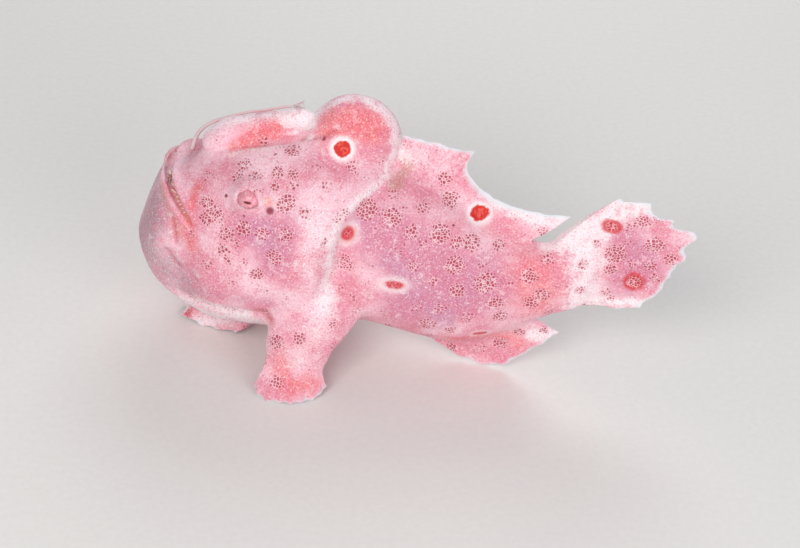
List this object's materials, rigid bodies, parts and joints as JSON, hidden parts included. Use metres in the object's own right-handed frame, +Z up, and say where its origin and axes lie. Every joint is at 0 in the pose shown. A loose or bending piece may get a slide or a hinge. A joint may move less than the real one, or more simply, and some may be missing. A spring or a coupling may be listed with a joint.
{
  "type": "frogfish",
  "caption": "Life-size still model of a squat frogfish with leg-like fins, an upturned mouth and a bent tail, resting on its fins.",
  "frame": {"origin": "on the floor, under the middle of the model's bounding box", "axes": "+X towards the tail, the head points along -X, the fish's left side faces -Y, +Z up"},
  "size_m": [0.0952, 0.0438, 0.0507],
  "materials": {
    "skin": "moist pink skin with dark red dots in rosettes",
    "spine_skin": "moist salmon red skin",
    "fin_skin": "moist pink skin, whitish at the margins",
    "eye": "wet, glossy eye with a dark slit pupil",
    "lure": "pale thin skin"
  },
  "bodies": {
    "root": {"head": "skin", "lower_jaw": "skin", "trunk": "skin", "tail_stalk": "skin", "third_dorsal_spine": "spine_skin", "second_dorsal_spine": "spine_skin", "lure": "lure", "dorsal_fin": "fin_skin", "anal_fin": "fin_skin", "tail_fin": "fin_skin", "eye_left": "eye", "arm_left": "skin", "hand_fin_left": "fin_skin", "pelvic_fin_left": "fin_skin", "eye_right": "eye", "arm_right": "skin", "hand_fin_right": "fin_skin", "pelvic_fin_right": "fin_skin"}
  },
  "joints": []
}
